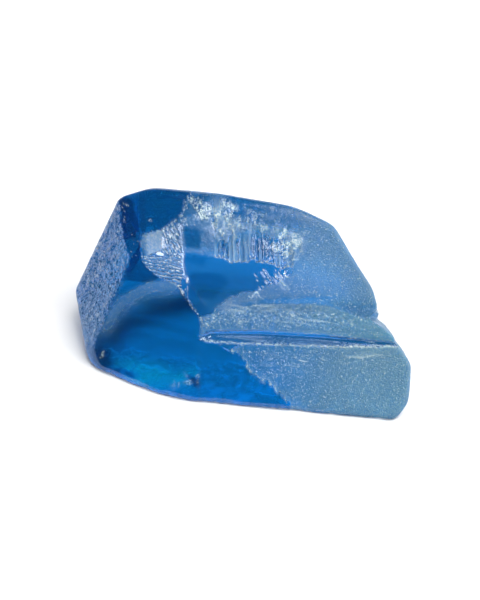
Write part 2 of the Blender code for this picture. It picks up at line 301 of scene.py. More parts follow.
def flakes(x, y, centres, size, lean, depth):
    """Small chips: each is a dent longer than it is wide, steep on its lower side."""
    relief, white = np.zeros(x.shape), np.zeros(x.shape)
    rng = np.random.default_rng(len(centres) + int(size * 100))
    for cx, cy in centres:
        turn = lean + rng.uniform(-0.35, 0.35)
        long = size * rng.uniform(0.5, 1.5)
        wide = size * rng.uniform(0.25, 0.45)
        a = (x - cx) * math.cos(turn) + (y - cy) * math.sin(turn)
        b = (y - cy) * math.cos(turn) - (x - cx) * math.sin(turn)
        bell = np.exp(-(a / long) ** 2 - (b / wide) ** 2)
        relief -= depth * bell * (0.6 + 0.4 * np.tanh(-b / 0.08))
        white += bell * np.exp(-((b + 0.15 * size) / 0.07) ** 2)
    return relief, np.clip(white, 0.0, 1.0)


def scatter(low, high, count, seed):
    """Seeded places spread evenly between two corners."""
    return np.random.default_rng(seed).uniform(low, high, (count, 2))


def etched_end(x, y):
    """The etched end's orange peel: lumps drawn out along the face, with finer pits between them."""
    down, across = 0.91 * y + 0.42 * x, 0.91 * x - 0.42 * y
    sway = 0.25 * lumps(x, y, 1.6, 39)
    coarse = lumps((across + sway) / 0.3, down / 0.75, 1.0, 1, turned=False)
    fine = lumps((across - sway) / 0.19, down / 0.38, 1.0, 2, turned=False)
    return 0.55 * coarse + 0.45 * fine


def bright_chip(x, y):
    """The bright chip: a flat at its upper left, level ripples below, broken flakes at its right. The white
    on the ripples' tops and the faint white over the rippled part are painted highlights, the chip's
    reflection of the light. Gives relief, frost, white and depth of colour."""
    flat = patch(x, y, [(-12.7, 7.4), (-11.9, 5.75), (-9.8, 6.4), (-9.6, 9.3), (-12.4, 8.8)], 0.1)
    below = 1.0 - step(5.75, 6.1, y + 0.25 * (x + 11.0) * (x > -11.0) * (x < -9.0))
    wave = y + 0.16 * x + 0.2 * lumps(x, y, 0.8, 6) + 0.07 * lumps(x, y, 0.3, 42)
    ripple = np.sin(wave * 2 * math.pi / 0.42)
    crest_highlight = step(0.4, 0.95, ripple) * step(-0.8, 0.1, lumps(x * 0.7, y * 1.6, 0.45, 61))
    speckle = step(-0.7, 0.3, lumps(x, y, 0.22, 60))
    dents, lips = flakes(x, y, scatter((-9.7, 5.6), (-7.5, 9.8), 44, 21), 0.32, 2.1, 0.14)
    right = step(-9.8, -9.4, x) * (1.0 - below)
    relief = 0.065 * ripple * below + dents * right + 0.008 * lumps(x, y, 0.35, 7) * flat
    frost = 0.2 * below + 0.42 * flat + 0.2 * right
    # Painted highlights: white on the ripples' tops, and a faint white over all the rippled part.
    white = crest_highlight * below + 1.1 * lips * right + 0.4 * speckle * flat
    white = np.maximum(white, 0.12 * below)
    return relief, frost, np.clip(white, 0.0, 1.0), np.full(x.shape, 0.6)


def window(x, y):
    """The clean window: bowed a little, with a soft band of haze across its top. Painted shade deepens its
    blue in a band under the haze, at its top corner and along its lower rim, and painted light makes it
    bright cyan low down. The white on the small dents near its lower rim is painted glints. Gives relief,
    frost, white and depth."""
    bow = 0.35 * (1.0 - ((x + 10.5) / 5.6) ** 2 - ((y + 5.0) / 8.0) ** 2)
    gap, place = along(x, y, [(-17.0, -2.6), (-14.9, 0.3), (-11.2, 2.2), (-8.4, 2.2), (-6.4, 0.4)])
    haze = np.exp(-(gap / np.where(gap > 0, 0.5, 2.1)) ** 2) * (1.0 - step(0.8, 1.0, place))
    cuts, rims = scratches(x, y, [[(-17.9, -6.0), (-17.3, -6.6), (-16.7, -7.2)],
                                  [(-18.1, -6.4), (-17.5, -7.0), (-16.6, -7.1)]], 0.06, 0.05)
    # Small dents near the lower rim, their white painted glints.
    dents, lips = flakes(x, y, scatter((-8.6, -10.9), (-4.2, -9.0), 22, 51), 0.22, -0.3, 0.06)
    # Painted shade: the blue is darker in a band under the haze, at the top corner and in patches along the
    # lower rim.
    band = along(x, y, [(-17.6, -5.2), (-14.0, -2.9), (-10.0, -1.1), (-5.5, 0.0)])[0]
    deep = 0.5 + 0.5 * np.exp(-(band / 1.7) ** 2)
    deep += 0.5 * patch(x, y, [(-15.3, 0.2), (-11.2, 2.35), (-8.3, 2.1), (-10.6, 4.2), (-12.6, 6.5),
                               (-14.8, 4.0)], 0.15)
    deep += 0.45 * patch(x, y, [(-19.2, -5.4), (-17.6, -9.0), (-15.9, -8.8), (-16.2, -6.3)], 0.25)
    # Painted light: a bright cyan glow low in the window.
    painted_glow = 1.2 * np.exp(-((x + 12.0) / 3.4) ** 2 - ((y + 9.0 + 0.12 * (x + 12.0)) / 1.6) ** 2)
    painted_glow += 0.6 * np.exp(-((x + 6.5) / 2.6) ** 2 - ((y + 9.6) / 1.2) ** 2)
    deep -= 0.8 * painted_glow * (0.7 + 0.3 * lumps(x, y, 0.45, 43))
    shade_wedge = along(x, y + 0.1 * lumps(x, y, 0.4, 44), [(-15.5, -8.75), (-14.6, -8.85), (-12.5, -9.15)])[0]
    deep += np.exp(-(shade_wedge / 0.3) ** 2)
    deep += 0.8 * patch(x, y, [(-6.5, -9.3), (-5.6, -10.8), (-3.2, -11.7), (-3.3, -10.5)], 0.3)
    relief = np.clip(bow, 0.0, None) + 0.012 * lumps(x, y, 2.2, 4) + cuts + dents
    return relief, 0.4 * haze, 0.5 * rims + 0.6 * lips, np.clip(deep, 0.0, 1.0)


def upper_face(x, y):
    """The upper face: clean at its left and below the columns, frosted to the right, with everything that
    broke there. Its glossy patches at the left and its clean parts get a deeper blue, painted shade; its
    growing frost to the right is partly real and partly painted light. Gives relief, frost, white and depth
    of colour."""
    jitter = 0.35 * lumps(x, y, 0.8, 8) + 0.2 * lumps(x, y, 0.35, 9)
    left_of_tongue = step(-0.05, 0.25, along(x + jitter, y + jitter, TONGUE)[0])
    under_columns = np.interp(x, *COLUMN_FEET) - 0.1 + 0.5 * jitter
    clean = left_of_tongue * (1.0 - step(-0.1, 0.3, y - under_columns)) * (1.0 - step(5.6, 8.0, x + jitter))
    # Glossy patches, less frosted, whose blue is painted darker as shade.
    glossy_shaded = 0.6 * patch(x, y, [(-6.6, 6.8), (-4.9, 6.6), (-4.7, 9.1), (-7.0, 9.6)], 0.3)
    glossy_shaded += 0.5 * patch(x, y, [(-7.3, 5.2), (-4.4, 4.5), (-3.8, 5.8), (-6.9, 6.2)], 0.25)
    glossy_shaded += 0.5 * patch(x, y, [(-6.2, 0.6), (-3.2, 0.2), (-1.2, 2.4), (-2.2, 3.6), (-6.0, 3.7)], 0.2)
    # Paler to the right: more frost, partly painted light from the right.
    paler = step(5.0, 15.0, x + 0.4 * y)
    frost = 0.32 + 0.26 * paler - 0.1 * np.exp(-((x - 12.5) / 3.0) ** 2 - ((y - 1.5) / 1.6) ** 2)
    above = step(9.3, 10.2, y + 0.25 * (x - 4.0) + jitter) * step(-2.5, -0.5, x)
    frost -= 0.2 * above * (1.0 - step(9.0, 12.0, x))
    left = 1.0 - step(-3.4, -2.9, x + 0.3 * jitter)
    frost = frost * (1.0 - left) + 0.24 * left * (1.0 - np.clip(glossy_shaded, 0, 1))
    frost = frost * (1.0 - clean) + clean * 0.12 * (1.0 - np.clip(glossy_shaded, 0, 1))

    flutes, feet = columns(x, y)
    frost = np.where(flutes < -0.1, 0.16 + 0.3 * step(-0.2, 0.8, lumps(x * 2.0, y * 0.3, 0.9, 45)), frost)
    drops, lips = steps_down(x, y, LEDGES, 0.34, 0.6, 0.14)
    cracks, rims = steps_down(x, y, CRACKS, 0.14, 0.2, 0.07)
    lines, bright = scratches(x, y, FINE_LINES, 0.09, 0.05)
    left_chips, left_rough = flakes(x, y, scatter((-7.4, 9.6), (0.5, 13.6), 80, 24), 0.28, -0.6, 0.08)
    top_chips, top_rough = flakes(x, y, scatter((-1.5, 9.3), (4.0, 11.0), 26, 25), 0.3, 0.2, 0.07)
    level_chips, level_rough = flakes(x, y, scatter((5.0, 5.4), (8.6, 8.8), 46, 22), 0.5, -0.1, 0.06)
    low_chips, low_rough = flakes(x, y, scatter((2.2, 1.2), (7.2, 4.4), 12, 23), 0.28, -0.8, 0.04)
    edge_chips, edge_rough = flakes(x, y, scatter((-7.5, -0.6), (-6.4, 3.0), 30, 28), 0.16, 1.2, 0.04)
    height = flutes + drops + cracks + lines + left_chips + top_chips + level_chips + low_chips + edge_chips
    white = feet + lips + rims + 0.7 * bright
    white += 0.8 * (left_rough + top_rough + level_rough + low_rough + edge_rough)
    slanted = lumps((0.77 * x - 0.64 * y) / 1.2, (0.64 * x + 0.77 * y) / 0.2, 1.0, 63, turned=False)
    left_break = patch(x, y, [(-6.9, 11.8), (-4.6, 10.8), (-1.9, 8.6), (0.6, 9.6), (-0.6, 11.6),
                              (-5.8, 14.0)], 0.4)
    white += 0.35 * left_break * step(0.35, 0.7, slanted)
    level = lumps(x / 0.9, (y + 0.1 * x) / 0.17, 1.0, 64, turned=False)
    level_break = patch(x, y, [(4.2, 5.2), (7.4, 4.9), (8.7, 6.8), (8.0, 8.7), (4.6, 8.8)], 0.4)
    white += 0.35 * level_break * step(0.4, 0.75, level)
    white *= np.exp(-np.clip(y - 12.9 + 0.24 * (x + 3.0), 0, None) / 0.25)
    height += 0.02 * lumps(x, y * 0.5, 0.6, 12) * (1.0 - clean)
    blotch = np.exp(-((x - 13.2) / 1.4) ** 2 - ((y + 0.2) / 0.5) ** 2)
    # Painted shade: a deeper blue on the glossy patches and the clean parts.
    deep = 0.5 + 0.25 * np.clip(glossy_shaded, 0.0, 1.0) + 0.08 * clean
    return height, frost + 0.15 * blotch, np.clip(white, 0.0, 1.0), deep


def front_face(x, y):
    """The lower front: the pale tongue, the smooth groove, its bright lip, and the frost right of the ragged
    edge where a thin flake left the clean window. Its frost and white grow to the right, partly painted
    light. Gives relief, frost, white and depth of colour."""
    gap, place = along(x, y + 0.07 * lumps(x, y, 0.5, 13), GROOVE_LIP)
    under_lip = step(-0.05, 0.1, -gap)
    lip = np.exp(-(gap / 0.13) ** 2) * step(0.0, 0.05, place)
    rough = step(-0.3, 0.5, lumps(x, y * 3.0, 0.5, 14))
    white = lip * (0.7 + 0.3 * rough)
    relief = 0.08 * lip * (0.7 + 0.3 * rough)
    edge = along(x + 0.22 * lumps(x, y, 0.6, 15), y + 0.2 * lumps(x, y, 0.45, 16), RAGGED_EDGE)[0]
    right_of_edge = step(-0.06, 0.1, edge)
    clean = under_lip * (1.0 - right_of_edge)
    top = along(x, y, GROOVE_TOP)[0]
    in_groove = step(-0.1, 0.25, -top) * (1.0 - under_lip) * step(-5.1, -4.4, x)
    # Paler to the right: more frost, partly painted light from the right.
    paler = step(3.0, 20.0, x - 0.2 * y)
    frost = 0.36 + 0.44 * paler
    frost += 0.12 * (1.0 - under_lip)
    blotches = np.exp(-((x - 0.2) / 0.5) ** 2 - ((y + 2.6) / 0.35) ** 2)
    blotches += np.exp(-((x - 7.0) / 0.45) ** 2 - ((y + 1.8) / 0.5) ** 2)
    frost = frost * (1.0 - in_groove) + 0.13 * in_groove
    frost = frost * (1.0 - clean)
    relief -= 0.12 * right_of_edge * under_lip
    flap = patch(x, y, [(-2.5, -5.35), (-1.0, -6.35), (0.3, -5.6)], 0.05)
    relief += 0.1 * flap
    frost = frost * (1.0 - flap) + 0.12 * flap
    broken = np.exp(-((edge - 0.05) / 0.12) ** 2) * under_lip * step(-0.2, 0.6, lumps(x, y, 0.35, 18))
    streaks = lumps(x * 0.16 - 0.05 * y, y + 0.02 * x - 0.012 * (x - 7.0) ** 2 * 0.3, 0.16, 17)
    zone = np.exp(-((y + 7.6) / 0.8) ** 2 - ((x - 8.0) / 3.4) ** 2)
    zone += 0.8 * np.exp(-((y + 7.2) / 0.6) ** 2 - ((x - 17.0) / 2.6) ** 2)
    relief += right_of_edge * 0.02 * streaks * (0.4 + zone)
    white += 0.75 * broken + 0.8 * zone * step(0.25, 0.8, streaks) * right_of_edge
    specks = np.exp(-((top + 0.15) / 0.4) ** 2) * step(3.0, 5.0, x) * step(0.35, 0.8, lumps(x, y, 0.16, 40))
    white += 0.7 * specks + 0.5 * blotches
    # A faint white that grows to the right, partly painted light.
    white += 0.08 * right_of_edge * under_lip * step(9.0, 19.0, x - 0.3 * y)
    return relief, frost, np.clip(white, 0.0, 1.0), np.full(x.shape, 0.5)


def hidden_faces(points, share):
    """The faces turned away from the photograph: growth lines along the back, terraces above them, a
    shell-shaped break with ripples at the back's right, waves on the right end and etching on the left.
    Gives relief and frost, each weighted by how much of the point belongs to the face."""
    a, b = on_facet("back", points)
    lines = lumps(a * 0.07, b, 0.7, 19, turned=False) + 0.6 * lumps(a * 0.12, b, 0.26, 20, turned=False)
    back = share["back"] + 0.5 * share["back_under"]
    height = back * 0.13 * lines
    frost = back * (0.3 + 0.22 * step(-0.3, 0.7, lines))

    a, b = on_facet("top_back", points)
    rise = 2.2 * lumps(a, b * 1.6, 4.5, 26) + 0.5 * lumps(a, b, 1.1, 52)
    terrace = np.floor(rise) + step(0.6, 1.0, rise - np.floor(rise))
    top = share["top_back"] + share["top_right"]
    height += top * (0.11 * terrace + 0.02 * lumps(a, b, 0.4, 53))
    frost += top * (0.26 + 0.3 * step(-0.2, 0.5, lumps(a, b, 2.4, 54)))

    a, b = on_facet("back_right", points)
    from_break = np.hypot(a - 2.0, b - 3.0)
    hollow = np.clip(1.5 - from_break ** 2 / 22.0, 0.0, None)
    ripples = np.sin(from_break * 2 * math.pi / 0.85 + lumps(a, b, 1.5, 55))
    in_hollow = step(0.0, 0.3, hollow)
    height += share["back_right"] * (0.035 * ripples * in_hollow - hollow + 0.03 * lumps(a, b, 0.5, 56))
    frost += share["back_right"] * (0.45 - 0.3 * in_hollow)

    a, b = on_facet("right_end", points)
    waves = np.sin(np.hypot(a + 3.0, b - 6.0) * 2 * math.pi / 2.1 + 1.3 * lumps(a, b, 2.0, 57))
    right = share["right_top"] + share["right_end"] + share["right_under"]
    height += right * (0.05 * waves + 0.03 * lumps(a, b, 0.7, 58))
    frost += right * (0.36 + 0.16 * lumps(a, b, 2.6, 59))

    a, b = on_facet("left_top", points)
    left = share["left_top"] + share["left_back"] + share["back_left"] + share["left_under"]
    height += left * 0.12 * etched_end(a, b)
    frost += left * 0.3
    return height, frost + 0.3 * share["front_under"]


def relief_and_finish(points):
    """How far each point moves out, then its values for the material: how frosted it is, how white its
    broken edges and its painted highlights are, how deep its blue is, 0.5 being plain, much of the deeper
    and paler blue being painted shade and painted light, and how far it is combed or crumbled. Each is the
    sum of the zones' own values, weighted by how much of the point belongs to each zone."""
    share = facet_shares(points)
    x, y = as_seen(points)
    etched = share["etched_end"]
    front = sum(share[name] for name in SHARP) - etched
    height = np.zeros(len(points))
    frost = np.zeros(len(points))
    white = np.zeros(len(points))
    deep = 0.5 * (1.0 - front)

    wander_x, wander_y = x + 0.1 * lumps(x, y, 0.5, 46), y + 0.1 * lumps(x, y, 0.45, 47)
    crown = step(-0.04, 0.06, -along(wander_x, wander_y, CROWN_EDGE)[0]) * step(8.0, 8.6, y)
    inside_chip = step(-0.04, 0.06, along(wander_x, wander_y, CHIP_CURVE)[0])
    left_of_ridge = 1.0 - step(-7.4, -7.2, wander_x + 0.06 * (y - 5))
    chip = inside_chip * (1.0 - crown) * step(1.2, 1.6, y) * left_of_ridge
    seam = along(x, y, WINDOW_SEAM)[0]
    low = 1.0 - np.maximum(step(-0.03, 0.03, seam), step(-7.6, -7.5, -x) * inside_chip)
    right_part = step(-5.2, -4.6, x)
    clear = (1.0 - crown) * (1.0 - chip) * (1.0 - right_part) * np.where(x > -7.6, low, 1.0 - inside_chip)
    below_valley = step(-0.05, 0.05, np.interp(x, *VALLEY_LINE) - y)
    tongue = below_valley * (1.0 - clear) * (1.0 - chip) * right_part
    zones = {"crown": crown, "chip": chip, "clear": clear, "tongue": tongue}
    zones["upper"] = np.clip(1.0 - sum(zones.values()), 0.0, 1.0)
    finishes = {
        # The crown's deeper blue, 0.68, is painted shade.
        "crown": (0.015 * lumps(x, y, 3.0, 3), 0.0, 0.0, 0.68),
        "chip": bright_chip(x, y),
        "clear": window(x, y),
        "tongue": front_face(x, y),
        "upper": upper_face(x, y),
    }
    combed = np.exp(-((y + 7.6) / 0.8) ** 2 - ((x - 7.4) / 3.4) ** 2)
    combed += 0.9 * np.exp(-((y + 7.4) / 0.6) ** 2 - ((x - 17.0) / 2.6) ** 2)
    combed += 0.8 * np.exp(-((y + 0.9) / 0.6) ** 2 - ((x - 1.6) / 2.8) ** 2)
    combed += 0.5 * np.exp(-((y + 2.6) / 0.5) ** 2 - ((x - 10.0) / 6.0) ** 2)
    combed += 0.5 * np.exp(-((y - 12.0 + 0.22 * (x + 1.5)) / 0.5) ** 2 - ((x + 0.5) / 4.0) ** 2)
    combed = np.clip(combed, 0.0, 1.0) * front
    for zone, (relief, cloud, bright, blue) in finishes.items():
        height += front * zones[zone] * relief
        frost += front * zones[zone] * cloud
        white += front * zones[zone] * bright
        deep += front * zones[zone] * blue

    peel = etched_end(x, y)
    # A dark speckled strip, worn down a little, runs beside the etched end; its dark blue is painted shade.
    strip = patch(x + 0.15 * lumps(x, y, 0.5, 62), y, [
        (-15.2, 13.4), (-15.0, 9.9), (-14.2, 6.4), (-13.6, 3.6), (-12.7, 5.2), (-12.75, 8.8), (-13.8, 13.4),
    ], 0.12)
    strip *= front + etched
    height += etched * 0.15 * peel * (1.0 - strip)
    worn = 0.24 * np.clip(x - np.interp(y, *STRIP_LEFT), 0.0, None)
    height -= worn * step(-11.6, -13.6, x) * step(3.6, 5.5, y) * (front + etched)
    # Painted glints: white on the tops of the etched lumps.
    white += 0.45 * etched * step(0.25, 0.6, peel)
    frost += etched * 0.25
    deep -= 0.12 * etched
    deep = deep * (1.0 - strip) + 0.95 * strip
    frost *= 1.0 - 0.9 * strip
    white = white * (1.0 - strip) + strip * 0.6 * step(0.72, 0.9, lumps(x, y, 0.2, 49))
    # A painted highlight: a small white spot on the crown.
    white += crown * np.exp(-((x + 11.2) / 0.17) ** 2 - ((y - 10.3) / 0.11) ** 2)
    # Broken crumbs line the zones' edges.
    rim = np.exp(-(along(wander_x, wander_y, CROWN_EDGE[:-1])[0] / 0.16) ** 2)
    rim += np.exp(-(seam / 0.15) ** 2) * step(-3.3, -3.0, y)
    rim += 0.4 * np.exp(-(along(x, y, CHIP_CURVE)[0] / 0.12) ** 2)
    rim += 0.15 * np.exp(-(along(wander_x, wander_y, CHIP_RIDGE)[0] / 0.12) ** 2)
    rim = np.clip(rim, 0.0, 1.0) * front
    nicks = step(-0.1, 0.4, lumps(x, y, 0.28, 50))
    white += 0.85 * rim * nicks
    height -= 0.1 * rim * nicks

    height += front * trough(x, y, VALLEY, [0.3, 0.5, 0.8, 1.4], [0.0, 0.25, 0.5, 1.1])
    height += front * trough(x, y, GROOVE, [0.2, 0.55, 0.6, 0.6], [0.15, 0.5, 0.5, 0.35])

    # The base: cleaved flat, with shallow rough hollows under the window that light the blue above them.
    a, b = points[:, 0], points[:, 1]
    hollow = step(-0.6, 0.9, lumps(a, b, 1.7, 27) + 0.6 * lumps(a, b, 0.6, 28)) * step(-1.5, -4.5, b)
    height -= share["base"] * hollow * (0.14 + 0.1 * lumps(a, b, 0.6, 29))
    frost += share["base"] * (0.06 + 0.6 * hollow)

    # Painted shade: a darker line of blue follows the foot, next to the floor.
    foot = 1.0 - step(0.15, 0.9, points[:, 2])
    deep = np.maximum(deep, 0.9 * foot)

    moved, clouded = hidden_faces(points, share)
    heights = points @ NORMALS.T - OFFSETS
    facing = [name in SHARP for name in NAMES]
    behind = heights[:, np.invert(facing)].max(axis=1) - heights[:, facing].max(axis=1)
    height += moved * step(0.2, 1.8, behind)
    frost += clouded
    a, b = on_facet("right_top", points)
    saddle = [(-20.0, -2.9), (-13.8, -1.7), (-8.0, -0.5), (-2.5, 1.2)]
    height += share["right_top"] * trough(a, b, saddle, [2.2, 1.9, 1.2, 0.6], [1.9, 1.5, 0.7, 0.1])
    right = share["right_top"] + share["right_end"] + share["right_under"]
    height -= 0.55 * right * np.exp(-((y + 2.35) / 0.55) ** 2) * step(14.0, 16.0, x)
    height += 0.22 * share["right_top"] * np.exp(-((y - 0.8) / 2.4) ** 2)
    broken = patch(x, y, [(-7.3, 9.4), (-3.2, 8.4), (-2.9, 5.2), (7.3, 4.2), (9.2, 7.6), (7.5, 9.6),
                          (1.5, 10.4), (0.4, 12.0), (-5.4, 13.8), (-7.0, 13.0)], 0.4)
    broken *= zones["upper"] * front
    fluted = patch(x, y, [(-2.9, 5.4), (4.9, 4.6), (5.0, 9.0), (-2.9, 8.6)], 0.3)
    broken *= 1.0 - 0.75 * fluted
    crumbled = 0.4 * broken + 0.5 * etched * (1.0 - strip) + 0.7 * rim
    crumbled += 0.6 * front * zones["tongue"] * np.exp(-((y + 2.0) / 1.6) ** 2)
    return height, *(np.clip(values, 0.0, 1.0) for values in (frost, white, deep, combed, crumbled))


def crystal_mesh():
    """The crystal's surface. Rays fan out from a line along X: a ray's station sets where on the line it
    starts and how far it leans towards the ends, and its turn sets its direction round the line. Each
    ray is halved towards the melted facets, then moved by the relief. The left rays swing to the back,
    so that the etched end has an even grid."""
    lean = math.pi * (1.0 - np.arange(1, STATIONS) / STATIONS)
    turn = np.arange(AROUND) / AROUND * 2 * math.pi
    # The rays lie closer together at the middle of the crystal's length, and towards the photographed side.
    lean = lean + 0.125 * np.sin(2.0 * lean)
    turn = turn - 0.5 * np.sin(turn - FRONT_TURN)
    lean, turn = np.meshgrid(lean, turn, indexing="ij")
    rays = np.stack([np.cos(lean), np.sin(lean) * np.cos(turn), np.sin(lean) * np.sin(turn)], axis=-1)
    rays = np.concatenate([rays.reshape(-1, 3), [[-1.0, 0.0, 0.0], [1.0, 0.0, 0.0]]])
    starts = CORE + np.stack([rays[:, 0] * HALF_LINE, rays[:, 0] * 0, rays[:, 0] * 0], axis=-1)
    swing = LEFT_SWING * ((1.0 - rays[:, 0]) / 2) ** 2
    rays = np.stack([rays[:, 0] * np.cos(swing) + rays[:, 1] * np.sin(swing),
                     rays[:, 1] * np.cos(swing) - rays[:, 0] * np.sin(swing), rays[:, 2]], axis=-1)
    near, far = np.zeros(len(rays)), np.full(len(rays), 40.0)
    for _ in range(HALVINGS):
        middle = (near + far) / 2
        outside = out_of_crystal(starts + rays * middle[:, None]) > 0
        far = np.where(outside, middle, far)
        near = np.where(outside, near, middle)
    points = starts + rays * near[:, None]
    height, *finish = relief_and_finish(points)
    shares = np.stack(list(facet_shares(points, 0.4).values()), axis=-1)
    facing = np.clip((shares @ NORMALS * rays).sum(axis=1), 0.35, None)
    points = points + rays * (height / facing)[:, None]
    points[:, 2] = np.maximum(points[:, 2], 0.0)

    ring = np.arange((STATIONS - 1) * AROUND).reshape(STATIONS - 1, AROUND)
    after = np.roll(ring, -1, axis=1)
    quads = np.stack([ring[:-1], after[:-1], after[1:], ring[1:]], axis=-1).reshape(-1, 4)
    left_pole, right_pole = len(points) - 2, len(points) - 1
    left = [(left_pole, int(j), int(i)) for i, j in zip(ring[0], after[0])]
    right = [(right_pole, int(i), int(j)) for i, j in zip(ring[-1], after[-1])]
    return points, quads.tolist() + left + right, finish


def fit_to_box(points, low, high):
    """Slides and stretches the points, by a few hundredths at most, to just fill the part's own box."""
    own_low, own_high = points.min(axis=0), points.max(axis=0)
    low, high = np.array(low) / MM + BOX_INSET, np.array(high) / MM - BOX_INSET
    low[2] = 0.0
    return (low + (points - own_low) / (own_high - own_low) * (high - low)) * MM


def linear(colour):
    """A colour written as sRGB hex, turned to the linear values that shaders take."""
    parts = [int(colour[k:k + 2], 16) / 255 for k in (1, 3, 5)]
    return [p / 12.92 if p <= 0.04045 else ((p + 0.055) / 1.055) ** 2.4 for p in parts] + [1.0]


def add(tree, kind, settings=(), links=()):
    """Adds one node: settings are its own values or its sockets' values, and links join its sockets to
    other nodes' outputs."""
    node = tree.nodes.new(kind)
    for name, value in dict(settings).items():
        if isinstance(name, str) and hasattr(node, name):
            setattr(node, name, value)
        else:
            node.inputs[name].default_value = value
    for name, source in dict(links).items():
        tree.links.new(source, node.inputs[name])
    return node


# The material's patterns, by size in millimetres, and the crystal's optical values.
GRAIN, CRUMB, BROKEN_FACET, SPECK, STREAK = 0.2, 0.303, 0.2083, 0.1923, 0.2778
TOPAZ_IOR = 1.62
CLEARNESS = 0.78                        # the share of light that passes the surface instead of scattering
ABSORPTION = 210.0                      # density of the blue inside, per metre


